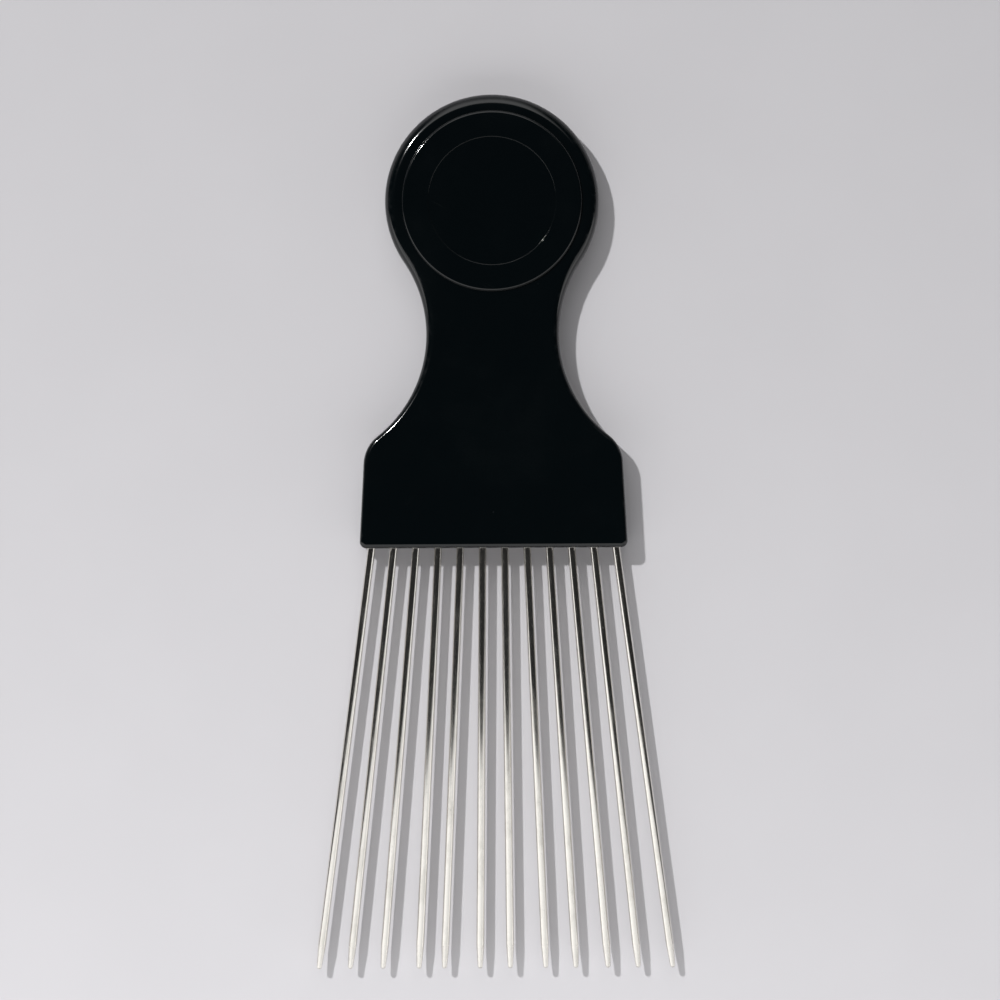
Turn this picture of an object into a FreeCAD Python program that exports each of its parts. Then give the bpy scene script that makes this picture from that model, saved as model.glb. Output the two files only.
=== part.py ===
"""Afro pick: a handle of two moulded shells that clamps a fan of plated steel tines.

Frame, in millimetres: the pick lies face up on its flat back at Z = 0, +Y runs from the
points of the tines to the round head of the handle, and X runs across. The origin is the
middle of the whole outline, on the back face. The shells part at half the thickness, and
every tine lies in that parting plane, with its headed root locked in a pocket between them.
"""

import FreeCAD
import Part
import math
import os

Vector = FreeCAD.Vector
UP = Vector(0, 0, 1)

# Tines: drawn wire, ground to a point at one end and cold-headed into an anchor at the other
TINE_COUNT = 12
TINE_DIAMETER = 2.0
TINE_REACH = 103.9  # from the exit face to the line of the points
ROOT_PITCH = 5.49  # between neighbours at the exit face
TIP_PITCH = 7.95  # between neighbours at the line of the points
POINT_LENGTH = 6.0
POINT_TAPER = 0.35  # ground off each side by the end of the point
ROOT_DEPTH = 14.5  # from the exit face to the anchor, along the tine
ANCHOR_LIP = 0.65  # by which the anchor stands out all round the wire
ANCHOR_LENGTH = 1.4

# How far each hand-set point stands out of even pitch, in tip pitches, from left to right
TIP_STRAY_SHARES = (0.0, -0.03, -0.01, 0.11, -0.10, 0.01, -0.05, 0.05, -0.01, -0.01, -0.07, 0.0)

# Handle in plan, with heights above the exit face
HEAD_RADIUS = 26.35
HEAD_HEIGHT = 85.35  # centre of the head
WAIST_RADIUS = 32.0  # hollow curve between head and shoulder
SHOULDER_RADIUS = 9.0
BLOCK_HEIGHT = 21.0  # straight side of the tine block
BLOCK_MARGIN = 2.85  # from the outermost tine's axis to the block's side
SIDE_LEAN = 3.1  # degrees by which each side of the block leans in towards the head

# Handle in section
HANDLE_THICKNESS = 10.0
SKIN = 2.6  # front and back walls
WALL = 3.0  # side walls, and the wall between the tine pockets and the chamber
FRONT_ROUND = 1.1
BACK_ROUND = 1.0
CORNER_LAND = 0.55  # by which the block's corner radius is larger than the round of its edge
SEAM_CHAMFER = 0.15  # witness line where the shells meet

# Rings on the face of the head: a raised disc with a shallow thumb recess in it
DISC_SHELF = 3.1  # flat between the round of the head's edge and the raised disc
DISC_RISE = 0.9
RECESS_BAND = 6.4  # flat between the edge of the disc and the recess
RECESS_SINK = 0.15
RING_ROUND_SHARE = 0.61  # round of a ring's edge, of its step

# Joint between the shells: a tongue round the chamber, and pegs in bossed sockets
TONGUE_INSET = 1.1  # from the outside of the side wall
TONGUE_WIDTH = 0.8
TONGUE_HEIGHT = 0.8
PEG_DIAMETER = 4.0
BOSS_WALL = 1.6
HEAD_PEG_OFFSET = 13.0  # from the centre line, level with the centre of the head
BLOCK_PEG_OFFSET = 17.0  # from the centre line, beside the tine block

# Clearances
TINE_CLEARANCE = 0.05  # round a tine in its channel and its anchor in its pocket
JOINT_CLEARANCE = 0.05  # round pegs and tongue
END_CLEARANCE = 0.2  # over the ends of pegs and tongue
OVERRUN = 1.0  # by which a cutting tool runs past the face that it cuts
SAME_PLACE = 1e-6  # within which two heights are the same

# Places and sizes that follow from the ones above
PARTING = HANDLE_THICKNESS / 2
HANDLE_LENGTH = HEAD_HEIGHT + HEAD_RADIUS
EXIT = (TINE_REACH - HANDLE_LENGTH) / 2  # exit face, which centres the outline on the origin
ROOT_HALF_SPAN = ROOT_PITCH * (TINE_COUNT - 1) / 2
TINE_RADIUS = TINE_DIAMETER / 2
POINT_RADIUS = TINE_RADIUS - POINT_TAPER
ANCHOR_RADIUS = TINE_RADIUS + ANCHOR_LIP
POCKET_END = ROOT_DEPTH + ANCHOR_LENGTH + TINE_CLEARANCE
CORNER_RADIUS = FRONT_ROUND + CORNER_LAND
DISC_RADIUS = HEAD_RADIUS - FRONT_ROUND - DISC_SHELF
RECESS_RADIUS = DISC_RADIUS - RECESS_BAND
CHAMBER_DEPTH = PARTING - SKIN
PEG_RADIUS = PEG_DIAMETER / 2
BOSS_RADIUS = PEG_RADIUS + BOSS_WALL
HEAD_CENTRE = Vector(0, EXIT + HEAD_HEIGHT, 0)
SIDE_UP = Vector(-math.sin(math.radians(SIDE_LEAN)), math.cos(math.radians(SIDE_LEAN)), 0)
SIDE_OUT = Vector(SIDE_UP.y, -SIDE_UP.x, 0)


def unit(vector):
    """The vector at a length of one."""
    return vector * (1 / vector.Length)


def mirrored(point):
    """The point on the other side of the handle's centre line."""
    return Vector(-point.x, point.y, point.z)


def side_point(height, inset):
    """Point of the block's right side that stands at a height, on a line moved in by inset."""
    start = Vector(ROOT_HALF_SPAN + BLOCK_MARGIN, EXIT, 0) - SIDE_OUT * inset
    return start + SIDE_UP * ((EXIT + height - start.y) / SIDE_UP.y)


def waist_centre(shoulder_centre):
    """Centre of the hollow arc that touches the head and the shoulder from outside."""
    head_distance = HEAD_RADIUS + WAIST_RADIUS
    shoulder_distance = SHOULDER_RADIUS + WAIST_RADIUS
    span = (shoulder_centre - HEAD_CENTRE).Length
    along = unit(shoulder_centre - HEAD_CENTRE)
    across = Vector(-along.y, along.x, 0)
    foot = (head_distance ** 2 - shoulder_distance ** 2 + span ** 2) / (2 * span)
    return HEAD_CENTRE + along * foot + across * math.sqrt(head_distance ** 2 - foot ** 2)


SHOULDER_CENTRE = side_point(BLOCK_HEIGHT, 0) - SIDE_OUT * SHOULDER_RADIUS
WAIST_CENTRE = waist_centre(SHOULDER_CENTRE)
CORNER_CENTRE = side_point(CORNER_RADIUS, CORNER_RADIUS)


def line(start, end):
    """Straight edge."""
    return Part.LineSegment(start, end).toShape()


def arc(start, end, centre):
    """Edge of under a half circle round a centre."""
    middle = centre + unit(start + end - centre * 2) * (start - centre).Length
    return Part.Arc(start, middle, end).toShape()


def outline(inset):
    """Closed wire of the handle's plan at Z = 0, moved in by inset from the outer one."""
    head_side = HEAD_CENTRE + unit(WAIST_CENTRE - HEAD_CENTRE) * (HEAD_RADIUS - inset)
    head_top = HEAD_CENTRE + Vector(0, HEAD_RADIUS - inset, 0)
    shoulder_top = SHOULDER_CENTRE + unit(WAIST_CENTRE - SHOULDER_CENTRE) * (SHOULDER_RADIUS - inset)
    shoulder_foot = SHOULDER_CENTRE + SIDE_OUT * (SHOULDER_RADIUS - inset)
    corner_round = CORNER_RADIUS - inset
    if corner_round > 0:
        corner_top = CORNER_CENTRE + SIDE_OUT * corner_round
        corner_foot = CORNER_CENTRE - Vector(0, corner_round, 0)
        right = [arc(corner_foot, corner_top, CORNER_CENTRE)]
    else:
        corner_top = side_point(inset, inset)
        corner_foot = corner_top
        right = []
    right += [
        line(corner_top, shoulder_foot),
        arc(shoulder_foot, shoulder_top, SHOULDER_CENTRE),
        arc(shoulder_top, head_side, WAIST_CENTRE),
    ]
    left = [edge.mirror(Vector(), Vector(1, 0, 0)) for edge in right]
    head = Part.Arc(head_side, head_top, mirrored(head_side)).toShape()
    base = line(mirrored(corner_foot), corner_foot)
    return Part.Wire(Part.__sortEdges__([base, *right, head, *left]))


def prism(wire, bottom, top):
    """Solid on a flat wire, from one height to another."""
    face = Part.Face(wire)
    face.translate(UP * bottom)
    return face.extrude(UP * (top - bottom))


def chamber(inset, bottom, top):
    """Solid inside the handle's plan that stays inset from its sides and from the tine pockets."""
    solid = prism(outline(inset), bottom, top)
    box = solid.BoundBox
    floor = EXIT + POCKET_END + inset
    kept = Part.makeBox(box.XLength, box.YMax - floor, box.ZLength, Vector(box.XMin, floor, bottom))
    return solid.common(kept)


def rim_edges(solid, height):
    """Edges of a solid that lie flat at a height."""
    return [
        edge
        for edge in solid.Edges
        if abs(edge.BoundBox.ZMin - height) < SAME_PLACE and abs(edge.BoundBox.ZMax - height) < SAME_PLACE
    ]


def shell_blank(outside, edge_round):
    """Half of the handle, from the parting plane to its outside face, with a rounded edge."""
    bottom, top = sorted((outside, PARTING))
    blank = prism(outline(0), bottom, top)
    blank = blank.makeFillet(edge_round, rim_edges(blank, outside))
    return blank.makeChamfer(SEAM_CHAMFER, rim_edges(blank, PARTING))


def post(place, radius, bottom, top):
    """Upright round solid at a place in plan."""
    return Part.makeCylinder(radius, top - bottom, Vector(place.x, place.y, bottom))


def edge_radius(edge):
    """Radius of a round edge."""
    return edge.Curve.Radius


def head_disc(bottom):
    """Raised disc on the head, from a foot at bottom, with its recess and both edges rounded."""
    top = HANDLE_THICKNESS + DISC_RISE
    disc = post(HEAD_CENTRE, DISC_RADIUS, bottom, top)
    disc = disc.cut(post(HEAD_CENTRE, RECESS_RADIUS, top - RECESS_SINK, top + OVERRUN))
    inner_rim = min(rim_edges(disc, top), key=edge_radius)
    disc = disc.makeFillet(RECESS_SINK * RING_ROUND_SHARE, [inner_rim])
    outer_rim = max(rim_edges(disc, top), key=edge_radius)
    return disc.makeFillet(DISC_RISE * RING_ROUND_SHARE, [outer_rim])


def peg_places():
    """Centres of the pegs in plan: two in the head, one in the waist, two beside the block."""
    block_row = EXIT + POCKET_END + WALL + PEG_RADIUS
    pairs = [
        HEAD_CENTRE + Vector(HEAD_PEG_OFFSET, 0, 0),
        Vector(BLOCK_PEG_OFFSET, block_row, 0),
    ]
    return pairs + [mirrored(place) for place in pairs] + [Vector(0, WAIST_CENTRE.y, 0)]


def tine_ends(index):
    """Where a tine crosses the exit face and where its point lies, across the pick."""
    step = index - (TINE_COUNT - 1) / 2
    stray = TIP_STRAY_SHARES[index % len(TIP_STRAY_SHARES)]
    return step * ROOT_PITCH, (step + stray) * TIP_PITCH


def turned(edges):
    """Solid of a half section in the XY plane, turned about the Y axis."""
    face = Part.Face(Part.Wire(edges))
    return face.revolve(Vector(), Vector(0, 1, 0), 360)


def outlined(points):
    """Closed run of straight edges."""
    return [line(start, end) for start, end in zip(points, points[1:] + points[:1])]


def laid(solid, index):
    """A solid made along the Y axis, moved to a tine's place and lean."""
    root, tip = tine_ends(index)
    lean = math.degrees(math.atan2(tip - root, TINE_REACH))
    solid.Placement = FreeCAD.Placement(Vector(root, EXIT, PARTING), FreeCAD.Rotation(UP, lean))
    return solid


def tine(index):
    """One tine: a ball-ended ground point, the wire, and the headed anchor at its root."""
    root, tip = tine_ends(index)
    end = -math.hypot(tip - root, TINE_REACH)
    ball = Vector(0, end + POINT_RADIUS, 0)
    grind = Vector(TINE_RADIUS, end + POINT_LENGTH, 0)
    reach = (grind - ball).Length
    slope = math.acos(POINT_RADIUS / reach) - math.atan2(grind.y - ball.y, grind.x)
    touch = ball + Vector(math.cos(slope), -math.sin(slope), 0) * POINT_RADIUS
    tip_end = Vector(0, end, 0)
    anchor_top = ROOT_DEPTH + ANCHOR_LENGTH
    profile = [
        touch,
        grind,
        Vector(TINE_RADIUS, ROOT_DEPTH, 0),
        Vector(ANCHOR_RADIUS, ROOT_DEPTH, 0),
        Vector(ANCHOR_RADIUS, anchor_top, 0),
        Vector(0, anchor_top, 0),
        tip_end,
    ]
    sides = [line(start, end_point) for start, end_point in zip(profile, profile[1:])]
    return laid(turned([arc(tip_end, touch, ball), *sides]), index)


def tine_seat(index):
    """Space that a tine's wire and anchor take up inside the handle, with its clearance."""
    channel = TINE_RADIUS + TINE_CLEARANCE
    pocket = ANCHOR_RADIUS + TINE_CLEARANCE
    pocket_start = ROOT_DEPTH - TINE_CLEARANCE
    points = [
        Vector(0, -OVERRUN, 0),
        Vector(channel, -OVERRUN, 0),
        Vector(channel, pocket_start, 0),
        Vector(pocket, pocket_start, 0),
        Vector(pocket, POCKET_END, 0),
        Vector(0, POCKET_END, 0),
    ]
    return laid(turned(outlined(points)), index)


def tongue(spare, top):
    """Ring round the chamber on the parting plane, wider by spare on each side."""
    inner = TONGUE_INSET + TONGUE_WIDTH + spare
    bottom = PARTING - TONGUE_HEIGHT
    return chamber(TONGUE_INSET - spare, bottom, top).cut(chamber(inner, bottom, top))


def front_shell(seats):
    """Upper shell: the plain face with the ringed head, sockets and a groove inside."""
    face = HANDLE_THICKNESS
    inside = face - SKIN
    foot = face - SKIN / 2
    shell = shell_blank(face, FRONT_ROUND)
    shell = shell.fuse(head_disc(foot))
    shell = shell.cut(chamber(WALL, PARTING - OVERRUN, inside))
    shell = shell.fuse([post(place, BOSS_RADIUS, PARTING, foot) for place in peg_places()])
    socket_radius = PEG_RADIUS + JOINT_CLEARANCE
    sockets = [post(place, socket_radius, PARTING - OVERRUN, inside) for place in peg_places()]
    groove = tongue(JOINT_CLEARANCE, PARTING + TONGUE_HEIGHT + END_CLEARANCE)
    return shell.cut([*sockets, groove, *seats]).removeSplitter()


def back_shell(seats):
    """Lower shell: the flat back, with pegs and the tongue that enter the upper shell."""
    foot = SKIN / 2
    peg_top = PARTING + CHAMBER_DEPTH - END_CLEARANCE
    shell = shell_blank(0, min(BACK_ROUND, FRONT_ROUND))
    shell = shell.cut(chamber(WALL, SKIN, PARTING + OVERRUN))
    shell = shell.fuse([post(place, BOSS_RADIUS, foot, PARTING) for place in peg_places()])
    shell = shell.fuse([post(place, PEG_RADIUS, foot, peg_top) for place in peg_places()])
    shell = shell.fuse(tongue(0, PARTING + TONGUE_HEIGHT))
    return shell.cut(seats).removeSplitter()


def build():
    """Every piece of the pick by its name."""
    seats = [tine_seat(index) for index in range(TINE_COUNT)]
    pieces = {"handle_front": front_shell(seats), "handle_back": back_shell(seats)}
    for index in range(TINE_COUNT):
        pieces[f"tine_{index + 1:02d}"] = tine(index)
    return pieces


def main():
    os.makedirs("parts", exist_ok=True)
    for name, shape in build().items():
        solid, = shape.Solids
        solid.exportStep(f"parts/{name}.step")
        print(f"{name}: {solid.Volume:.1f} mm3, valid {solid.isValid()}")
    waist_width = 2 * (WAIST_CENTRE.x - WAIST_RADIUS)
    print(f"waist {waist_width:.2f} mm wide, pick {HANDLE_LENGTH + TINE_REACH:.2f} mm long")


main()
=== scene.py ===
"""Afro pick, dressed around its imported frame: handle shells, wire tines and a studio stage.

The pick lies face up on its flat back, +Y runs from the points of the tines to the round head of
the handle, and lengths are metres. Every piece is a set of grids worked out with numpy: a grid is
an array of rows and columns of points. A point holds x, y, z and, on the shells, a share of edge wear.
"""

import math
from functools import reduce

import bmesh
import bpy
import numpy as np
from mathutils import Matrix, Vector


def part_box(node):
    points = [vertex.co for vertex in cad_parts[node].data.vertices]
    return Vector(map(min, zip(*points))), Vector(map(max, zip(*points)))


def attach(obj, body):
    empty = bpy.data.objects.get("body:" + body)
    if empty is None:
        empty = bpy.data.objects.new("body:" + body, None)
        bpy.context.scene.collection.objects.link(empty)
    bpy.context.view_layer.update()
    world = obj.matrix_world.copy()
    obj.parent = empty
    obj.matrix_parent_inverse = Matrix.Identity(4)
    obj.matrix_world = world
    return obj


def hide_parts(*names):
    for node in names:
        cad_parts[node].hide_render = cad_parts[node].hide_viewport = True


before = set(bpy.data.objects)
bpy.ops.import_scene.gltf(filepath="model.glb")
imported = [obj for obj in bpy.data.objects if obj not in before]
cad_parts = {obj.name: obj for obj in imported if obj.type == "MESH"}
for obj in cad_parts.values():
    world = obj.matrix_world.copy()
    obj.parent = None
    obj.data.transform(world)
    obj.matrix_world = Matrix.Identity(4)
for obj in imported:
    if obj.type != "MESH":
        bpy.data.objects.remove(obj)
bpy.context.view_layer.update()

bl_info = {
    "name": "Afro Pick",
    "version": (1, 0, 0),
    "blender": (4, 5, 0),
    "location": "View3D > Sidebar > Pick",
    "description": "Builds an afro pick's handle shells, wire tines and studio stage around its frame",
    "category": "Object",
}

# Places that the frame gives
SHELL_LOW, SHELL_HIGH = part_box("handle_front")
BACK_LOW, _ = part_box("handle_back")
EXIT = SHELL_LOW.y  # exit face of the tines
SEAM = SHELL_LOW.z  # plane where the shells meet, which holds the axes of the tines
HEAD_TOP = SHELL_HIGH.y
SHELL_DEPTH = SEAM - BACK_LOW.z  # from the seam to the flat of either shell's face
TINE_NODES = sorted(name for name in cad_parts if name.startswith("tine_"))
TINE_COUNT = len(TINE_NODES)

MM = 0.001
QUARTER = math.pi / 2
MIRROR = np.array([-1, 1])  # a plan point's other side of the centre line
MERGE_DISTANCE = 0.001 * MM
SHARP_ANGLE = math.radians(30)

# How finely the grids are divided
CORNER_STEPS = 10
SIDE_STEPS = 8
SHOULDER_STEPS = 18
WAIST_STEPS = 44
HEAD_STEPS = 72
ROUND_STEPS = 14
SMALL_ROUND_STEPS = 6
NOTCH_STEPS = 12
LAND_STEPS = 2
RING_STEPS = 4
BALL_STEPS = 10
CONE_STEPS = 8
WIRE_SIDES = 48
WIRE_STEPS = 24
WALL_SHARES = np.array([0, 0.04, 0.5, 0.96])[:, None]  # rows up a shell's straight wall

# Relief that is too small to be a driving size
SUPPORT = 0.1 * MM  # flat strip beside a round, which keeps the shading of the flat true
POCKET_DRAFT = 0.03 * MM  # slope of the walls across a tine's pocket
DISC_FILLET = 0.06 * MM  # hollow round at the foot of the raised disc
EXIT_MARGIN = 0.2 * MM  # from the last tine's hole to the end of the exit edge's own columns

# Edge wear, as shares of the most
CHAMFER_WEAR = 0.4
SEAM_WEAR = 0.6

# Moulded plastic: scales per metre, noise levels where a mark starts and is full, heights in millimetres
SMEAR_NOISE = {"scale": 45, "detail": 4, "roughness": 0.6}
SMEAR_LEVELS = (0.4, 0.7)
PLASTIC_ROUGHNESS = (0.08, 0.15)  # clean and smeared
PLASTIC_IOR = 1.5
SCRATCHES = (
    {"turn": 0.5, "fine": 4200, "run": 45, "least": 0.72},
    {"turn": -0.9, "fine": 3600, "run": 40, "least": 0.73},
)
SCRATCH_FADE = 0.05  # noise from the least that shows to a full scratch
SCRATCH_ROUGHNESS = 0.15
SCRATCH_DEPTH = 0.0006
BREAK_SCALE = (90, 90, 90)
BREAK_LEVELS = (0.55, 0.7)
RUB_NOISE = {"scale": 420, "detail": 3, "roughness": 0.6}
RUB_LEVELS = (0.5, 0.68)
RUB_WEAR = (0.35, 1)  # edge wear where rubbing starts and is full
RUB_ROUGHNESS = 0.1
RUB_PALENESS = 0.12
SPECK_SCALE = 260
SPECK_EDGE = (0.045, 0.02)  # distance from a speck's middle, in cells, where it starts and is full
SPECK_CHOICE = (0.9, 0.92)  # random number of a cell past which it holds a speck of dust
SPECK_PALENESS = 0.4
PEEL_NOISE = {"scale": 420, "detail": 1}
PEEL_HEIGHT = 0.0014

# Plated wire, in the same measures
WIRE_SPACING = 0.05  # between the wires in the space of their pattern, so that no two are alike
GROUND_SHARES = (1.03, 0.94)  # shares of the point's length where the grinding starts and is full
GROUND_ROUGHNESS = 0.16
GRIND_SCALE = (700, 14000, 700)
GRIND_HEIGHT = 0.004
DRAWN_SCALE = (9000, 60, 9000)
DRAWN_LEVELS = (0.3, 0.7)
DRAWN_HEIGHT = 0.0009
WIRE_ROUGHNESS = (0.07, 0.13)  # smoothest and roughest drawing lines
PATCH_SCALE = (350, 110, 350)
PATCH_NOISE = {"detail": 4, "roughness": 0.6}
PATCH_LEVELS = (0.45, 0.72)
PATCH_DULLNESS = 0.5
PATCH_ROUGHNESS = 0.06
PIT_NOISE = {"scale": 3600}
PIT_LEVELS = (0.7, 0.76)
PIT_DEPTH = 0.004

# Floor
FLOOR_REACH = 6.0  # from the origin to the floor's sides
FLOOR_ROUGHNESS = 0.85
MOTTLE_NOISE = {"scale": 30, "detail": 3}
MOTTLE_LEVELS = (0.3, 0.7)
MOTTLE_SHADE = 0.985  # share of the floor's colour in its darker spots

# Studio: where each stretch starts and is full, in the x, y or z of the direction looked in
CEILING_RISE = (0, 0.45)
FRONT_SPREAD = (-0.2, -0.8)
FRONT_RISE = (0.45, 0.1)
BACK_SPREAD = (0.1, 0.5)
BACK_RISE = (0.5, 0.2)
FLANK_SPREAD = (-0.02, -0.12)
FLANK_RISE = (0.4, 0.22)
FLANK_REACH = (0.6, 0.9)
PANEL_MIDDLE = -0.05
PANEL_REACH = (0.52, 0.2)
PANEL_FOOT = (0.31, 0.43)
PANEL_TOP = (1, 0.7)
PANEL_TOP_SHARE = 0.3  # share of the panel's glow that its top keeps
BOX_SLOPE_SHARE = 1.2  # how far to either side the softbox's glow changes, in its heights


def length(name, description, millimetres):
    """A length property whose default is given in millimetres."""
    return bpy.props.FloatProperty(
        name=name, description=description, default=millimetres * MM, min=0, unit="LENGTH", precision=5
    )


def angle(name, description, degrees):
    """An angle property whose default is given in degrees."""
    return bpy.props.FloatProperty(
        name=name, description=description, default=math.radians(degrees), subtype="ANGLE"
    )


def colour(name, description, default):
    """A colour property."""
    return bpy.props.FloatVectorProperty(
        name=name, description=description, default=default, size=3, min=0, max=1, subtype="COLOR"
    )


def amount(name, description, default, top):
    """A plain number property from nought to a top value."""
    return bpy.props.FloatProperty(name=name, description=description, default=default, min=0, max=top)


class PickHandle(bpy.types.PropertyGroup):
    """Sizes of the two handle shells."""

    head_radius: length("Head radius", "Radius of the round head", 26.35)
    waist_radius: length("Waist radius", "Radius of the hollow curve between head and shoulder", 32)
    shoulder_radius: length("Shoulder radius", "Radius of the shoulder above the tine block", 9)
    block_height: length("Block height", "Height of the tine block's straight side", 21)
    block_margin: length("Block margin", "From the outermost tine's axis to the block's side", 2.85)
    side_lean: angle("Side lean", "Lean of the block's sides towards the head", 3.1)
    corner_radius: length("Corner radius", "Radius of the block's corners in plan", 1.65)
    block_round: length("Block round", "Round of the front edge along the tine block", 1.1)
    head_round: length("Head round", "Round of the front edge along the head", 2.6)
    back_round: length("Back round", "Round of the back edge", 1)
    seam_chamfer: length("Seam chamfer", "Chamfer where the shells meet", 0.15)
    disc_radius: length("Disc radius", "Radius of the raised disc on the head", 22.15)
    disc_rise: length("Disc rise", "Height of the raised disc", 0.9)
    disc_round: length("Disc round", "Round of the raised disc's edge", 0.55)
    recess_radius: length("Recess radius", "Radius of the thumb recess in the disc", 15.75)
    recess_sink: length("Recess sink", "Depth of the thumb recess", 0.15)
    recess_round: length("Recess round", "Round of the recess's edge", 0.0915)


class PickTines(bpy.types.PropertyGroup):
    """Sizes of the wire tines and of the seats that hold them."""

    radius: length("Wire radius", "Radius of the tine's wire", 1)
    reach: length("Reach", "From the exit face to the line of the points", 103.9)
    root_pitch: length("Root pitch", "Between neighbours at the exit face", 5.49)
    tip_pitch: length("Tip pitch", "Between neighbours at the points", 7.95)
    strays: bpy.props.FloatVectorProperty(
        name="Strays",
        description="How far each point stands out of even pitch, in tip pitches",
        default=(0, -0.03, -0.01, 0.11, -0.1, 0.01, -0.05, 0.05, -0.01, -0.01, -0.07, 0),
        size=TINE_COUNT,
    )
    point_length: length("Point length", "Length of the ground point", 6)
    point_radius: length("Point radius", "Radius of the ball at the end of the point", 0.65)
    root_depth: length("Root depth", "From the exit face to the headed anchor", 14.5)
    anchor_radius: length("Anchor radius", "Radius of the headed anchor", 1.65)
    anchor_length: length("Anchor length", "Length of the headed anchor", 1.4)
    clearance: length("Clearance", "Room round a tine in its seat", 0.05)


class PickFinish(bpy.types.PropertyGroup):
    """Colours of the plastic and the plating."""

    plastic: colour("Plastic", "Colour of the moulded handle", (0.0007, 0.0019, 0.0025))
    plastic_scuff: colour("Scuff", "Colour of dust and rubbed edges on the handle", (0.03, 0.032, 0.035))
    plating: colour("Plating", "Colour of the plated wire", (0.8, 0.775, 0.73))
    plating_dull: colour("Dull plating", "Colour of the plating where it is dull", (0.62, 0.595, 0.545))


class PickStage(bpy.types.PropertyGroup):
    """Floor, lights and camera."""

    floor: colour("Floor", "Colour of the floor", (0.55, 0.54, 0.56))
    key_power: amount("Key power", "Power of the key light in watts", 43, 1000)
    key_side: angle("Key side", "Where the key light stands round the pick, from +X", 135)
    key_lean: angle("Key lean", "How far the key light leans from straight overhead", 35)
    key_distance: length("Key distance", "From the pick to the key light", 2500)
    key_size: length("Key size", "Width and height of the key light", 85)
    box_left_glow: amount("Softbox glow left", "Brightness of the softbox at its left end", 1.25, 10)
    box_right_glow: amount("Softbox glow right", "Brightness of the softbox at its right end", 0.85, 10)
    box_height: length("Softbox height", "From the floor to the softbox", 305)
    box_edge: length("Softbox edge", "From the origin to the softbox's near edge, towards the points", 75)
    box_blur: length("Softbox blur", "Distance over which the near edge of the softbox fades", 24)
    box_width: length("Softbox width", "Width of the softbox", 2400)
    box_depth: length("Softbox depth", "Size of the softbox beyond its near edge", 1100)
    panel_glow: amount("Panel glow", "Brightness of the panel beyond the head", 1.45, 10)
    back_glow: amount("Back glow", "Brightness of the horizon beyond the head", 0.25, 10)
    front_glow: amount("Front glow", "Brightness of the horizon beyond the points", 0.3, 10)
    flank_glow: amount("Flank glow", "Brightness of the horizon past the softbox's two ends", 1.07, 10)
    side_glow: amount("Side glow", "Brightness of the horizon elsewhere", 0.1, 10)
    ceiling_glow: amount("Ceiling glow", "Brightness of the dark ceiling", 0.02, 10)
    camera_height: length("Camera height", "From the floor to the camera", 1000)
    camera_roll: angle("Camera roll", "Turn of the camera about its line of sight", -0.3)
    frame_width: length("Frame width", "Width of the picture at the seam of the handle", 247)
    frame_shift_x: length("Frame shift X", "From the origin to the middle of the picture, across", 1.6)
    frame_shift_y: length("Frame shift Y", "From the origin to the middle of the picture, along", 7.88)


# Grids


def direction(turn):
    """Unit vectors in plan at an angle or an array of angles from +X."""
    return np.stack([np.cos(turn), np.sin(turn)], axis=-1)


def turn_of(vector):
    """Angle of a plan vector from +X."""
    return math.atan2(vector[1], vector[0])


def points_at(plan, height, wear=0.0):
    """Rows of x, y, z and wear from plan points, which lie at a height or an array of heights."""
    height, wear, _ = np.broadcast_arrays(height, wear, plan[..., 0])
    return np.concatenate([plan, np.stack([height, wear], axis=-1)], axis=-1)


def coons(bottom, top, left, right):
    """Coons patch: the two ruled surfaces between opposite edges, added, less the bilinear one.

    Columns lie at their share of the bottom edge's x and rows at their share of the left edge's y.
    """
    across = ((bottom[:, 0] - bottom[0, 0]) / (bottom[-1, 0] - bottom[0, 0]))[None, :, None]
    along = ((left[:, 1] - left[0, 1]) / (left[-1, 1] - left[0, 1]))[:, None, None]
    upward = (1 - along) * bottom + along * top
    sideways = (1 - across) * left[:, None] + across * right[:, None]
    low_edge = (1 - across) * bottom[0] + across * bottom[-1]
    high_edge = (1 - across) * top[0] + across * top[-1]
    return upward + sideways - (1 - along) * low_edge - along * high_edge


def turned(profile, turns, centre):
    """Profile of radius, height and wear carried round a centre in plan, one column to an angle."""
    plan = centre + profile[:, None, :1] * direction(turns)
    return points_at(plan, profile[:, 1:2], profile[:, 2:3])


def arc_profile(centre, radius, first, last, wear_peak, steps):
    """Part circle of radius, height and wear, from one angle to another, most worn in its middle."""
    share = np.linspace(0, 1, steps + 1)
    places = np.array(centre) + radius * direction(first + (last - first) * share)
    return np.column_stack([places, wear_peak * np.sin(np.pi * share)])


def quads(rows, columns, start):
    """Corner numbers of a grid's faces, where the grid's points are numbered from start by rows."""
    corner = start + np.arange(rows - 1)[:, None] * columns + np.arange(columns - 1)
    return np.stack([corner, corner + 1, corner + columns + 1, corner + columns], axis=-1).reshape(-1, 4)


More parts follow.
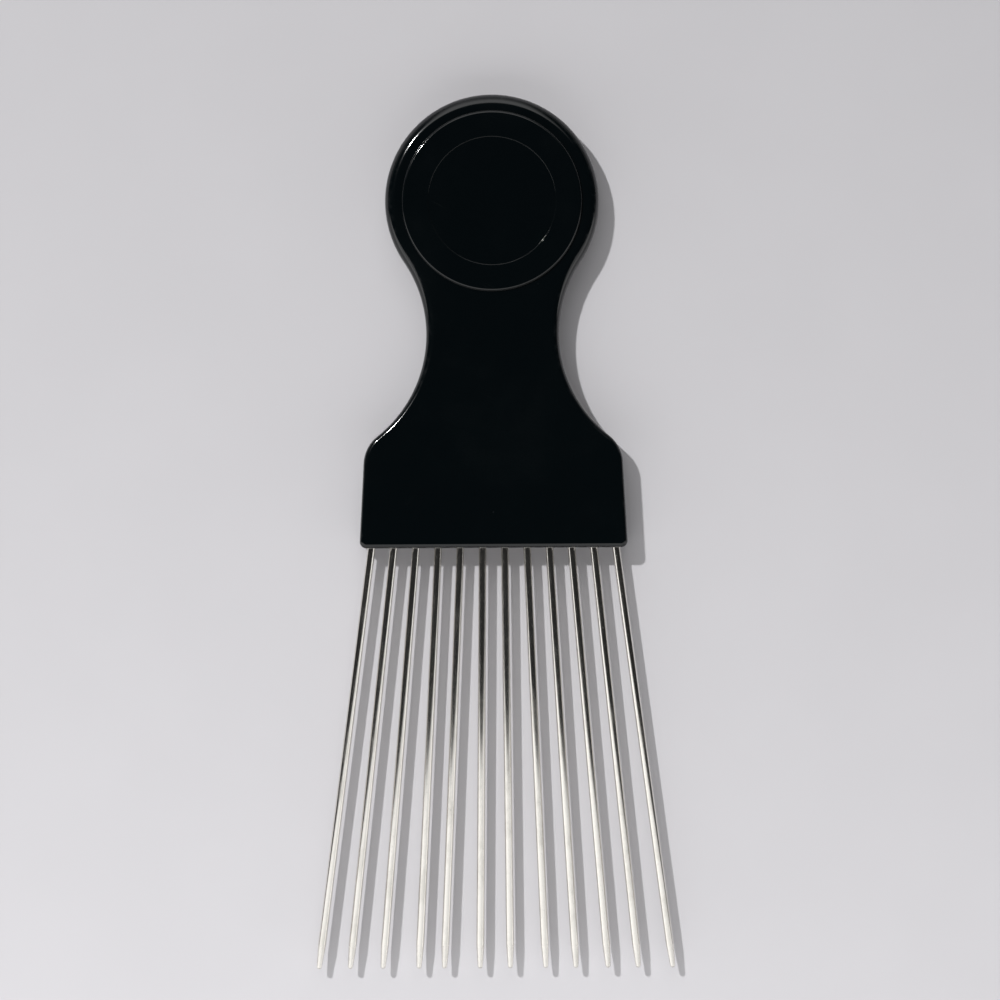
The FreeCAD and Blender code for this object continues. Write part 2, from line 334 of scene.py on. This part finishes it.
def solid_from(name, grids, attribute, values):
    """Mesh object from grids that share edges: merged to one closed skin that faces outwards.

    Each grid's own row of values goes into the named attribute: a number or a vector per point.
    """
    points = np.concatenate([grid[..., :3].reshape(-1, 3) for grid in grids])
    starts = np.cumsum([0] + [grid[..., 0].size for grid in grids])
    faces = np.concatenate([quads(*grid.shape[:2], start) for grid, start in zip(grids, starts)])
    mesh = bpy.data.meshes.new(name)
    mesh.from_pydata(points, [], faces.tolist())
    values = np.concatenate([value.reshape(-1, value.shape[-1]) for value in values])
    kind, field = ("FLOAT", "value") if values.shape[-1] == 1 else ("FLOAT_VECTOR", "vector")
    layer = mesh.attributes.new(attribute, kind, "POINT")
    layer.data.foreach_set(field, values.astype(np.float32).ravel())
    work = bmesh.new()
    work.from_mesh(mesh)
    bmesh.ops.remove_doubles(work, verts=work.verts, dist=MERGE_DISTANCE)
    bmesh.ops.recalc_face_normals(work, faces=work.faces)
    work.to_mesh(mesh)
    work.free()
    mesh.shade_smooth()
    mesh.set_sharp_from_angle(angle=SHARP_ANGLE)
    made = bpy.data.objects.new(name, mesh)
    bpy.context.scene.collection.objects.link(made)
    return made


def dressed(piece, node, material):
    """Gives a piece its finish and its place on the frame, where it stands for a node."""
    piece.data.materials.append(material)
    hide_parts(node)
    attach(piece, "root")


# Handle


def tine_lines(tines):
    """Where each tine crosses the exit face, and its sideways run for each length below that face."""
    steps = np.arange(TINE_COUNT) - (TINE_COUNT - 1) / 2
    roots = steps * tines.root_pitch
    tips = (steps + np.array(tines.strays)) * tines.tip_pitch
    return roots, (tips - roots) / tines.reach


class Outline:
    """Plan of the handle, as points and outward normals: block, shoulders, hollow waist, round head."""

    def __init__(self, handle, tines):
        self.handle = handle
        self.lean = handle.side_lean
        self.half_width = tines.root_pitch * (TINE_COUNT - 1) / 2 + handle.block_margin
        self.head = np.array([0, HEAD_TOP - handle.head_radius])
        self.corner = self.side_point(handle.corner_radius, handle.corner_radius)
        inward = -direction(self.lean)
        self.shoulder = self.side_point(handle.block_height, 0) + inward * handle.shoulder_radius
        self.waist = self.waist_centre()

    def side_point(self, height, inset):
        """Point at a height above the exit face, on the block's right side moved in by inset."""
        out = direction(self.lean)
        up = direction(self.lean + QUARTER)
        start = np.array([self.half_width, EXIT]) - out * inset
        return start + up * ((EXIT + height - start[1]) / up[1])

    def waist_centre(self):
        """Centre of the hollow arc that touches head and shoulder: where two circles round them meet."""
        to_head = self.handle.head_radius + self.handle.waist_radius
        to_shoulder = self.handle.shoulder_radius + self.handle.waist_radius
        between = self.shoulder - self.head
        span = np.linalg.norm(between)
        along = between / span
        foot = (to_head**2 - to_shoulder**2 + span**2) / (2 * span)
        return self.head + along * foot + np.array([-along[1], along[0]]) * math.sqrt(to_head**2 - foot**2)

    def exit_edge(self, x):
        """Points and normals of the block's lower edge at each x: straight, then round the corners."""
        past = np.clip((np.abs(x) - self.corner[0]) / self.handle.corner_radius, 0, 1)
        fall = np.sqrt(1 - past**2)
        points = np.stack([x, EXIT + self.handle.corner_radius * (1 - fall)], axis=-1)
        return points, np.stack([np.sign(x) * past, -fall], axis=-1)

    def right_side(self, exit_end, depths):
        """Points and normals from the end of the exit edge to the top of the head.

        Arcs are a centre plus a radius times the normal, and a hollow arc's radius counts as negative.
        Also gives the number of the sample at each depth on the block's side, and where the head starts.
        """
        corner_start = -math.acos((exit_end - self.corner[0]) / self.handle.corner_radius)
        into_waist = turn_of(self.waist - self.shoulder)
        into_head = turn_of(self.waist - self.head)
        arcs = [
            (self.corner, self.handle.corner_radius, corner_start, self.lean, CORNER_STEPS),
            (self.shoulder, self.handle.shoulder_radius, self.lean, into_waist, SHOULDER_STEPS),
            (self.waist, -self.handle.waist_radius, into_waist, into_head, WAIST_STEPS),
            (self.head, self.handle.head_radius, into_head, QUARTER, HEAD_STEPS),
        ]
        turns = [np.linspace(first, last, steps + 1) for _, _, first, last, steps in arcs]
        curves = [arc[0] + arc[1] * direction(turn) for arc, turn in zip(arcs, turns)]
        stops = [curves[0][-1, 1] - EXIT, *depths, curves[1][0, 1] - EXIT]
        heights = np.concatenate([
            np.linspace(stops[0], stops[1], SIDE_STEPS + 1)[1:],
            stops[2:-1],
            np.linspace(stops[-2], stops[-1], SIDE_STEPS + 1)[1:],
        ])
        side = np.stack([self.side_point(height, 0) for height in heights])
        points = np.concatenate([curves[0], side, *[curve[1:] for curve in curves[1:]]])
        side_turns = np.full(len(side), self.lean)
        normals = direction(np.concatenate([turns[0], side_turns, *[turn[1:] for turn in turns[1:]]]))
        first_stop = CORNER_STEPS + SIDE_STEPS
        return points, normals, first_stop + np.arange(len(depths)), len(points) - HEAD_STEPS - 1

    def round_trip(self, right, exit_x, exit_lift):
        """Way round the outline: exit edge, right side, top of the head, left side.

        Gives points and outward normals in plan, and each point's lift from the seam.
        """
        points, normals = right
        exit_points, exit_normals = self.exit_edge(exit_x)
        way = np.concatenate([exit_points, points[1:], points[-2::-1] * MIRROR])
        outward = np.concatenate([exit_normals, normals[1:], normals[-2::-1] * MIRROR])
        lift = np.concatenate([exit_lift, np.zeros(len(way) - len(exit_lift))])
        return way, outward, lift

    def rounds_along(self, way, block_round, head_round):
        """Round of the edge at points of the way: the block's, which grows up the waist to the head's."""
        foot = (self.shoulder * self.handle.waist_radius + self.waist * self.handle.shoulder_radius)[1]
        foot /= self.handle.waist_radius + self.handle.shoulder_radius
        top = (self.head * self.handle.waist_radius + self.waist * self.handle.head_radius)[1]
        top /= self.handle.waist_radius + self.handle.head_radius
        share = np.clip((way[:, 1] - foot) / (top - foot), 0, 1)
        return block_round + (head_round - block_round) * share


def exit_columns(roots, radius, least, left_end, right_end):
    """x and lift of the columns along the exit edge: half circles round the tines, lands between.

    A column on a half circle lies at root + radius * cos(turn) and is lifted by radius * sin(turn), for
    turns from the least one on the left side to the same on the right.
    """
    turns = np.linspace(math.pi - least, least, NOTCH_STEPS + 1)
    share = np.linspace(0, 1, LAND_STEPS + 2)[1:-1]
    notches = roots[:, None] + radius * np.cos(turns)
    next_edges = np.append(notches[1:, 0], right_end)
    lands = notches[:, -1:] + (next_edges - notches[:, -1])[:, None] * share
    first_land = left_end + (notches[0, 0] - left_end) * share
    lifts = np.broadcast_to(radius * np.sin(turns), notches.shape)
    x = np.concatenate([[left_end], first_land, np.hstack([notches, lands]).ravel(), [right_end]])
    flat = np.zeros(LAND_STEPS + 1)
    lift = np.concatenate([flat, np.hstack([lifts, np.zeros_like(lands)]).ravel(), [0]])
    return x, lift


def edge_band(inner, outer, chamfer, rounds, side):
    """Edge of a shell: a chamfer at the seam, a straight wall and a quarter round, all round the plan.

    A point lies inset from the outline along its normal, at a height from the seam. On the round the
    inset is radius * (1 - cos(turn)) and the height is depth - radius * (1 - sin(turn)).
    """
    way, outward, lift = inner
    first = points_at(way - chamfer * outward, SEAM + side * lift, CHAMFER_WEAR)
    way, outward, lift = outer
    foot = np.maximum(lift, chamfer)
    wall = foot + (SHELL_DEPTH - rounds - foot) * WALL_SHARES
    turn = np.linspace(0, QUARTER, ROUND_STEPS + 1)[:, None]
    inset = np.vstack([0 * wall, rounds * (1 - np.cos(turn)), rounds + SUPPORT])
    height = np.vstack([wall, SHELL_DEPTH - rounds * (1 - np.sin(turn)), np.full_like(rounds, SHELL_DEPTH)])
    wear = np.vstack([SEAM_WEAR * (WALL_SHARES == 0), np.sin(2 * turn), [[0]]])
    rest = points_at(way - inset[..., None] * outward, SEAM + side * height, wear)
    return np.concatenate([first[None], rest])


def face_patches(bottom, left, right, head_start, centre, profile):
    """Grids that fill a face inside its edge: neck and block, a ring round the disc, and the disc.

    The ring runs straight in from the head's edge to the disc, along the round of the head. The disc
    is the profile carried round the head's centre. The neck is a Coons patch under both of them.
    """
    rim = np.concatenate([right[head_start:], left[head_start:-1][::-1]])
    turns = np.unwrap(np.arctan2(rim[:, 1] - centre[1], rim[:, 0]))
    foot = turned(profile[:1], turns, centre)[0]
    ring = rim + np.linspace(0, 1, RING_STEPS + 1)[:, None, None] * (foot - rim)
    neck_turns = np.linspace(turns[-1], turns[0] + 4 * QUARTER, len(bottom) - 2 * len(ring) + 2)
    neck_foot = turned(profile[:1], neck_turns[1:-1], centre)[0]
    top = np.concatenate([ring[:, -1], neck_foot, ring[::-1, 0]])
    neck = coons(bottom, top, left[: head_start + 1], right[: head_start + 1])
    disc = turned(profile, np.concatenate([turns, neck_turns[1:]]), centre)
    return [neck, ring, disc]


def flat_disc(radius, height):
    """Profile of a plain round face at a height, from its edge to its centre."""
    radii = np.linspace(radius, 0, RING_STEPS + 1)
    return np.column_stack([radii, np.full_like(radii, height), np.zeros_like(radii)])


def ringed_disc(handle):
    """Profile of the raised disc: hollow foot, rounded edge, flat band, recess with a rounded edge."""
    flat = SEAM + SHELL_DEPTH
    top = flat + handle.disc_rise
    floor = top - handle.recess_sink
    outer = handle.disc_radius - handle.disc_round
    inner = handle.recess_radius + handle.recess_round
    hollow = handle.recess_sink - handle.recess_round
    foot = (handle.disc_radius + DISC_FILLET, flat + DISC_FILLET)
    edge = (outer, top - handle.disc_round)
    lip = (inner, top - handle.recess_round)
    corner = (handle.recess_radius - hollow, floor + hollow)
    return np.concatenate([
        arc_profile(foot, DISC_FILLET, -QUARTER, -2 * QUARTER, 0, SMALL_ROUND_STEPS),
        arc_profile(edge, handle.disc_round, 0, QUARTER, 1, ROUND_STEPS),
        [[outer - SUPPORT, top, 0], [(outer + inner) / 2, top, 0], [inner + SUPPORT, top, 0]],
        arc_profile(lip, handle.recess_round, QUARTER, 2 * QUARTER, 1, ROUND_STEPS),
        arc_profile(corner, hollow, 0, -QUARTER, 0, SMALL_ROUND_STEPS)[1:],
        flat_disc(corner[0] - SUPPORT, floor),
    ])


def tine_seat(tines):
    """Half seat of a tine as steps of depth from the exit face, radius and share of lift from the seam."""
    bore = tines.radius + tines.clearance
    pocket = tines.anchor_radius + tines.clearance
    start = tines.root_depth - tines.clearance
    end = tines.root_depth + tines.anchor_length + tines.clearance
    return [
        (start, bore, 1),
        (start + POCKET_DRAFT, pocket, 1),
        (end, pocket, 1),
        (end + POCKET_DRAFT, pocket, 0),
    ]


def seat_patches(exit_row, left, right, stops, tines, side):
    """Grids of the seam's side along the tines' seats, from the exit edge, and their last row.

    Each row is a row of half circles round the tines at a depth, and a Coons patch joins it to the last.
    """
    roots, slopes = tine_lines(tines)
    rows = [exit_row]
    patches = []
    for (depth, radius, lift_share), start, stop in zip(tine_seat(tines), [0, *stops], stops):
        x, lift = exit_columns(roots - slopes * depth, radius, 0, left[stop, 0], right[stop, 0])
        plan = np.stack([x, np.full_like(x, EXIT + depth)], axis=-1)
        row = points_at(plan, SEAM + side * lift_share * lift)
        row[0] = left[stop]
        row[-1] = right[stop]
        patches.append(coons(rows[-1], row, left[start : stop + 1], right[start : stop + 1]))
        rows.append(row)
    return patches, rows[-1]


def shell_grids(handle, tines, side, rounds, profile):
    """Closed skin of one shell, on the side +1 of the seam for the front and -1 for the back.

    Its edge is carried round the outline. The face inside it is filled by patches, and so is the seam's
    side, where half a seat for each tine runs in from the exit edge and follows the tine's lean.
    """
    outline = Outline(handle, tines)
    roots, _ = tine_lines(tines)
    bore = tines.radius + tines.clearance
    mouth = bore + handle.seam_chamfer
    exit_end = roots[-1] + mouth + EXIT_MARGIN
    depths = [depth for depth, _, _ in tine_seat(tines)]
    points, normals, stops, head_start = outline.right_side(exit_end, depths)
    bore_columns = exit_columns(roots, bore, 0, -exit_end, exit_end)
    mouth_turn = math.asin(handle.seam_chamfer / mouth)
    mouth_columns = exit_columns(roots, mouth, mouth_turn, -exit_end, exit_end)
    inner = outline.round_trip((points, normals), *bore_columns)
    outer = outline.round_trip((points, normals), *mouth_columns)
    band = edge_band(inner, outer, handle.seam_chamfer, outline.rounds_along(outer[0], *rounds), side)
    columns = len(bore_columns[0])

    def edges(row):
        return row[:columns], row[::-1][: len(points)], row[columns - 1 :][: len(points)]

    face = face_patches(*edges(band[-1]), head_start, outline.head, profile)
    exit_row, left, right = edges(band[0])
    seats, last_row = seat_patches(exit_row, left, right, stops, tines, side)
    start = stops[-1]
    foot = flat_disc(handle.disc_radius, SEAM)
    inside = face_patches(last_row, left[start:], right[start:], head_start - start, outline.head, foot)
    return [band, *face, *seats, *inside]


# Tines


def tine_profile(tines, lean):
    """Half section of a tine along its axis, as radius and place, with the exit face at nought.

    A ball at the end, a cone that touches the ball and meets the wire, the wire, and its headed anchor.
    """
    end = -tines.reach / math.cos(lean)
    ball = end + tines.point_radius
    grind = end + tines.point_length
    rise = grind - ball
    slope = math.acos(tines.point_radius / math.hypot(rise, tines.radius)) - math.atan2(rise, tines.radius)
    ball_turn = np.linspace(-QUARTER, -slope, BALL_STEPS)
    ball_places = np.array([0, ball]) + tines.point_radius * direction(ball_turn)
    touch = ball_places[-1]
    cone = touch + np.linspace(0, 1, CONE_STEPS + 1)[1:, None] * (np.array([tines.radius, grind]) - touch)
    wire = np.linspace(grind, tines.root_depth, WIRE_STEPS + 1)[1:]
    top = tines.root_depth + tines.anchor_length
    return np.concatenate([
        ball_places,
        cone,
        np.column_stack([np.full_like(wire, tines.radius), wire]),
        [[tines.anchor_radius, tines.root_depth], [tines.anchor_radius, top], [0, top]],
    ])


def tine_grid(tines, index):
    """One tine: its half section turned about its axis, leant over and set on the seam.

    Also gives each point's place on the wire, with the distance from the tip along the axis.
    """
    roots, slopes = tine_lines(tines)
    lean = math.atan(slopes[index])
    profile = tine_profile(tines, lean)
    turns = np.linspace(0, 4 * QUARTER, WIRE_SIDES + 1)
    around = profile[:, :1, None] * direction(turns)
    along = np.broadcast_to(profile[:, 1:], around.shape[:2])
    across, height = around[..., 0], around[..., 1]
    x = roots[index] + across * math.cos(lean) - along * math.sin(lean)
    y = EXIT + across * math.sin(lean) + along * math.cos(lean)
    grid = np.stack([x, y, SEAM + height], axis=-1)
    place = np.stack([across + index * WIRE_SPACING, along - profile[0, 1], height], axis=-1)
    return grid, place


# Finishes


def add(tree, kind, inputs=None, **settings):
    """Adds a node, with its settings, and sets or links its inputs."""
    made = tree.nodes.new(kind)
    for name, value in settings.items():
        setattr(made, name, value)
    for name, value in (inputs or {}).items():
        if isinstance(value, bpy.types.NodeSocket):
            tree.links.new(value, made.inputs[name])
        else:
            made.inputs[name].default_value = value
    return made


def scaled(tree, place, scale, turn=0.0):
    """Place turned about Z, then stretched by a scale for each axis."""
    turned_place = place
    if turn:
        rotation = {"Vector": place, "Angle": turn}
        rotated = add(tree, "ShaderNodeVectorRotate", rotation, rotation_type="Z_AXIS")
        turned_place = rotated.outputs["Vector"]
    return add(tree, "ShaderNodeMapping", {"Vector": turned_place, "Scale": scale}).outputs["Vector"]


def noise(tree, place, scale=1.0, detail=2.0, roughness=0.5):
    """Noise value at a place."""
    inputs = {"Vector": place, "Scale": scale, "Detail": detail, "Roughness": roughness}
    return add(tree, "ShaderNodeTexNoise", inputs).outputs["Fac"]


def remap(tree, value, low, high, to_low=0.0, to_high=1.0):
    """Value from one range smoothly to another, held at the ends."""
    inputs = {"Value": value, "From Min": low, "From Max": high, "To Min": to_low, "To Max": to_high}
    return add(tree, "ShaderNodeMapRange", inputs, interpolation_type="SMOOTHSTEP").outputs["Result"]


def calc(tree, operation, *values):
    """Result of an operation on one or two values."""
    made = add(tree, "ShaderNodeMath", operation=operation)
    for socket, value in zip(made.inputs, values):
        if isinstance(value, bpy.types.NodeSocket):
            tree.links.new(value, socket)
        else:
            socket.default_value = value
    return made.outputs["Value"]


def chained(tree, operation, *values):
    """Result of an operation on two values, then on that result and the next value, to the last one."""
    return reduce(lambda first, second: calc(tree, operation, first, second), values)


def product(tree, *values):
    """All the values multiplied."""
    return chained(tree, "MULTIPLY", *values)


def mixed(tree, factor, first, second):
    """Colour between two colours."""
    made = add(tree, "ShaderNodeMix", data_type="RGBA")
    tree.links.new(factor, made.inputs["Factor"])
    colours = [socket for socket in made.inputs if socket.type == "RGBA"]
    for socket, value in zip(colours, (first, second)):
        socket.default_value = (*value, 1)
    return next(socket for socket in made.outputs if socket.type == "RGBA")


def new_material(name):
    """Empty node material, its tree and its shader."""
    material = bpy.data.materials.new(name)
    material.use_nodes = True
    tree = material.node_tree
    tree.nodes.clear()
    shader = add(tree, "ShaderNodeBsdfPrincipled")
    add(tree, "ShaderNodeOutputMaterial", {"Surface": shader.outputs["BSDF"]})
    return material, tree, shader


def relief(tree, shader, height):
    """Gives a shader bumps of a height in millimetres."""
    bump = add(tree, "ShaderNodeBump", {"Height": height, "Distance": MM, "Strength": 1})
    tree.links.new(bump.outputs["Normal"], shader.inputs["Normal"])


def scratches(tree, place, turn, fine, run, least):
    """Sparse hairline scratches in one direction: stretched noise, cut high and broken up by noise."""
    lines = noise(tree, scaled(tree, place, (run, fine, fine), turn), detail=1)
    breaks = noise(tree, scaled(tree, place, BREAK_SCALE, turn))
    line = remap(tree, lines, least, least + SCRATCH_FADE)
    return product(tree, line, remap(tree, breaks, *BREAK_LEVELS))


def moulded_plastic(finish):
    """Glossy black plastic: faint orange peel, smears, hairline scratches, dust and rubbed edges."""
    material, tree, shader = new_material("handle_plastic")
    place = add(tree, "ShaderNodeTexCoord").outputs["Object"]
    wear = add(tree, "ShaderNodeAttribute", attribute_name="wear").outputs["Fac"]
    smear = remap(tree, noise(tree, place, **SMEAR_NOISE), *SMEAR_LEVELS, *PLASTIC_ROUGHNESS)
    scratch = chained(tree, "MAXIMUM", *[scratches(tree, place, **kind) for kind in SCRATCHES])
    rub_noise = remap(tree, noise(tree, place, **RUB_NOISE), *RUB_LEVELS)
    rub = product(tree, rub_noise, remap(tree, wear, *RUB_WEAR))
    specks = add(tree, "ShaderNodeTexVoronoi", {"Vector": place, "Scale": SPECK_SCALE})
    chosen = add(tree, "ShaderNodeSeparateColor", {"Color": specks.outputs["Color"]}).outputs["Red"]
    dot = remap(tree, specks.outputs["Distance"], *SPECK_EDGE)
    speck = product(tree, dot, remap(tree, chosen, *SPECK_CHOICE))
    pale = calc(tree, "MAXIMUM", product(tree, speck, SPECK_PALENESS), product(tree, rub, RUB_PALENESS))
    tree.links.new(mixed(tree, pale, finish.plastic, finish.plastic_scuff), shader.inputs["Base Color"])
    scratch_rough = product(tree, scratch, SCRATCH_ROUGHNESS)
    rough = chained(tree, "ADD", smear, scratch_rough, product(tree, rub, RUB_ROUGHNESS))
    tree.links.new(rough, shader.inputs["Roughness"])
    peel = product(tree, noise(tree, place, **PEEL_NOISE), PEEL_HEIGHT)
    relief(tree, shader, calc(tree, "SUBTRACT", peel, product(tree, scratch, SCRATCH_DEPTH)))
    shader.inputs["IOR"].default_value = PLASTIC_IOR
    return material


def plated_wire(finish, tines):
    """Bright plated steel: drawing lines along the wire, dull patches, pits, and a ground point."""
    material, tree, shader = new_material("tine_plating")
    place = add(tree, "ShaderNodeAttribute", attribute_name="wire_place").outputs["Vector"]
    from_tip = add(tree, "ShaderNodeSeparateXYZ", {"Vector": place}).outputs["Y"]
    ground = remap(tree, from_tip, *[share * tines.point_length for share in GROUND_SHARES])
    drawn = noise(tree, scaled(tree, place, DRAWN_SCALE))
    grind = noise(tree, scaled(tree, place, GRIND_SCALE))
    patch = remap(tree, noise(tree, scaled(tree, place, PATCH_SCALE), **PATCH_NOISE), *PATCH_LEVELS)
    pit = remap(tree, noise(tree, place, **PIT_NOISE), *PIT_LEVELS)
    dull = calc(tree, "MAXIMUM", product(tree, patch, PATCH_DULLNESS), pit)
    tree.links.new(mixed(tree, dull, finish.plating, finish.plating_dull), shader.inputs["Base Color"])
    smooth = remap(tree, drawn, *DRAWN_LEVELS, *WIRE_ROUGHNESS)
    patch_rough = product(tree, patch, PATCH_ROUGHNESS)
    rough = chained(tree, "ADD", smooth, patch_rough, product(tree, ground, GROUND_ROUGHNESS))
    tree.links.new(rough, shader.inputs["Roughness"])
    cuts = product(tree, grind, ground, GRIND_HEIGHT)
    raised = calc(tree, "ADD", product(tree, drawn, DRAWN_HEIGHT), cuts)
    relief(tree, shader, calc(tree, "SUBTRACT", raised, product(tree, pit, PIT_DEPTH)))
    shader.inputs["Metallic"].default_value = 1
    return material


def plain_paper(stage):
    """Matt pale paper with the faintest mottling."""
    material, tree, shader = new_material("floor_paper")
    place = add(tree, "ShaderNodeTexCoord").outputs["Object"]
    mottle = remap(tree, noise(tree, place, **MOTTLE_NOISE), *MOTTLE_LEVELS)
    darker = [MOTTLE_SHADE * part for part in stage.floor]
    tree.links.new(mixed(tree, mottle, stage.floor, darker), shader.inputs["Base Color"])
    shader.inputs["Roughness"].default_value = FLOOR_ROUGHNESS
    return material


# Stage


def lay_floor(stage):
    """Wide level square that the pick lies on."""
    plan = [(-1, -1), (1, -1), (1, 1), (-1, 1)]
    mesh = bpy.data.meshes.new("floor")
    mesh.from_pydata([(FLOOR_REACH * x, FLOOR_REACH * y, 0) for x, y in plan], [], [(0, 1, 2, 3)])
    mesh.materials.append(plain_paper(stage))
    floor = bpy.data.objects.new("floor", mesh)
    bpy.context.scene.collection.objects.link(floor)


def area_light(name, place, width, depth, power):
    """Rectangular light at a place, which faces down and isn't seen by the camera."""
    data = bpy.data.lights.new(name, "AREA")
    data.shape = "RECTANGLE"
    data.size = width
    data.size_y = depth
    data.energy = power
    light = bpy.data.objects.new(name, data)
    light.location = place
    light.visible_camera = False
    bpy.context.scene.collection.objects.link(light)
    return light


def key_light(stage):
    """Small light that leans over the pick from its own side and faces the origin."""
    across = direction(stage.key_side) * math.sin(stage.key_lean)
    place = Vector((*across, math.cos(stage.key_lean))) * stage.key_distance
    light = area_light("key", place, stage.key_size, stage.key_size, stage.key_power)
    light.rotation_euler = (-place).to_track_quat("-Z", "Y").to_euler()


def softbox(stage):
    """Wide level light beyond the points: brighter towards its left end and soft at its near edge.

    A power of pi times the area gives it a brightness of one, which its nodes scale.
    """
    near = stage.box_blur / 2 - stage.box_edge
    place = Vector((0, near - stage.box_depth / 2, stage.box_height))
    power = math.pi * stage.box_width * stage.box_depth
    light = area_light("softbox", place, stage.box_width, stage.box_depth, power)
    light.data.use_nodes = True
    tree = light.data.node_tree
    tree.nodes.clear()
    spot = add(tree, "ShaderNodeNewGeometry").outputs["Position"]
    x, y, _ = add(tree, "ShaderNodeSeparateXYZ", {"Vector": spot}).outputs
    slope_end = BOX_SLOPE_SHARE * stage.box_height
    glow = remap(tree, x, -slope_end, slope_end, stage.box_left_glow, stage.box_right_glow)
    strength = product(tree, glow, remap(tree, y, near, near - stage.box_blur))
    emission = add(tree, "ShaderNodeEmission", {"Strength": strength})
    add(tree, "ShaderNodeOutputLight", {"Surface": emission.outputs["Emission"]})


def surroundings(stage):
    """Studio by the direction looked in: a dark ceiling, dim sides, and the brightest of four stretches.

    Low down these are the front beyond the points, the back beyond the head, and the flanks past the
    softbox's two ends. Higher up a panel stands beyond the head.
    """
    world = bpy.data.worlds.new("surroundings")
    bpy.context.scene.world = world
    world.use_nodes = True
    tree = world.node_tree
    tree.nodes.clear()
    looked = add(tree, "ShaderNodeTexCoord").outputs["Generated"]
    x, y, z = add(tree, "ShaderNodeSeparateXYZ", {"Vector": looked}).outputs
    sides = remap(tree, z, *CEILING_RISE, stage.side_glow, stage.ceiling_glow)
    front = product(tree, remap(tree, y, *FRONT_SPREAD, 0, stage.front_glow), remap(tree, z, *FRONT_RISE))
    back = product(tree, remap(tree, y, *BACK_SPREAD, 0, stage.back_glow), remap(tree, z, *BACK_RISE))
    flank_reach = remap(tree, calc(tree, "ABSOLUTE", x), *FLANK_REACH)
    flank_spread = remap(tree, y, *FLANK_SPREAD, 0, stage.flank_glow)
    flank = product(tree, flank_spread, remap(tree, z, *FLANK_RISE), flank_reach)
    from_middle = calc(tree, "ABSOLUTE", calc(tree, "SUBTRACT", x, PANEL_MIDDLE))
    panel_rise = product(tree, remap(tree, y, *PANEL_FOOT), remap(tree, y, *PANEL_TOP, PANEL_TOP_SHARE, 1))
    panel = product(tree, remap(tree, from_middle, *PANEL_REACH), panel_rise, stage.panel_glow)
    glow = chained(tree, "MAXIMUM", front, back, flank, panel, sides)
    background = add(tree, "ShaderNodeBackground", {"Color": (1, 1, 1, 1), "Strength": glow})
    add(tree, "ShaderNodeOutputWorld", {"Surface": background.outputs["Background"]})


def overhead_camera(stage):
    """Camera that looks straight down, with a picture of the frame's width at the seam of the handle."""
    data = bpy.data.cameras.new("camera")
    data.lens = data.sensor_width * (stage.camera_height - SEAM) / stage.frame_width
    camera = bpy.data.objects.new("camera", data)
    camera.location = (stage.frame_shift_x, stage.frame_shift_y, stage.camera_height)
    camera.rotation_euler.z = stage.camera_roll
    bpy.context.scene.collection.objects.link(camera)
    bpy.context.scene.camera = camera


# Operators


class PICK_OT_handle_front(bpy.types.Operator):
    """Build the front shell with its ringed head"""

    bl_idname = "pick.handle_front"
    bl_label = "Front Shell"

    def execute(self, context):
        scene = context.scene
        handle = scene.pick_handle
        rounds = (handle.block_round, handle.head_round)
        grids = shell_grids(handle, scene.pick_tines, 1, rounds, ringed_disc(handle))
        piece = solid_from("front_shell", grids, "wear", [grid[..., 3:] for grid in grids])
        dressed(piece, "handle_front", moulded_plastic(scene.pick_finish))
        return {"FINISHED"}


class PICK_OT_handle_back(bpy.types.Operator):
    """Build the flat back shell"""

    bl_idname = "pick.handle_back"
    bl_label = "Back Shell"

    def execute(self, context):
        scene = context.scene
        handle = scene.pick_handle
        rounds = (handle.back_round, handle.back_round)
        profile = flat_disc(handle.disc_radius, SEAM - SHELL_DEPTH)
        grids = shell_grids(handle, scene.pick_tines, -1, rounds, profile)
        piece = solid_from("back_shell", grids, "wear", [grid[..., 3:] for grid in grids])
        dressed(piece, "handle_back", moulded_plastic(scene.pick_finish))
        return {"FINISHED"}


class PICK_OT_tines(bpy.types.Operator):
    """Build the fan of wire tines"""

    bl_idname = "pick.tines"
    bl_label = "Tines"

    def execute(self, context):
        scene = context.scene
        plating = plated_wire(scene.pick_finish, scene.pick_tines)
        for index, node in enumerate(TINE_NODES):
            grid, place = tine_grid(scene.pick_tines, index)
            piece = solid_from(node.replace("tine", "wire"), [grid], "wire_place", [place])
            dressed(piece, node, plating)
        return {"FINISHED"}


class PICK_OT_stage(bpy.types.Operator):
    """Lay the floor, set the lights and point the camera straight down at the pick"""

    bl_idname = "pick.stage"
    bl_label = "Stage"

    def execute(self, context):
        stage = context.scene.pick_stage
        lay_floor(stage)
        key_light(stage)
        softbox(stage)
        surroundings(stage)
        overhead_camera(stage)
        context.scene.view_settings.view_transform = "Standard"
        return {"FINISHED"}


class VIEW3D_PT_pick(bpy.types.Panel):
    """Sidebar list of the pick's pieces"""

    bl_label = "Pick"
    bl_space_type = "VIEW_3D"
    bl_region_type = "UI"
    bl_category = "Pick"

    def draw(self, context):
        for operator in OPERATORS:
            self.layout.operator(operator.bl_idname)


GROUPS = {
    "pick_handle": PickHandle,
    "pick_tines": PickTines,
    "pick_finish": PickFinish,
    "pick_stage": PickStage,
}
OPERATORS = (PICK_OT_handle_front, PICK_OT_handle_back, PICK_OT_tines, PICK_OT_stage)


def register():
    for kind in (*GROUPS.values(), *OPERATORS, VIEW3D_PT_pick):
        bpy.utils.register_class(kind)
    for name, group in GROUPS.items():
        setattr(bpy.types.Scene, name, bpy.props.PointerProperty(type=group))


def unregister():
    for name in GROUPS:
        delattr(bpy.types.Scene, name)
    for kind in (VIEW3D_PT_pick, *OPERATORS, *GROUPS.values()):
        bpy.utils.unregister_class(kind)


def main():
    register()
    bpy.ops.pick.handle_front()
    bpy.ops.pick.handle_back()
    bpy.ops.pick.tines()
    bpy.ops.pick.stage()


if __name__ == "__main__":
    main()
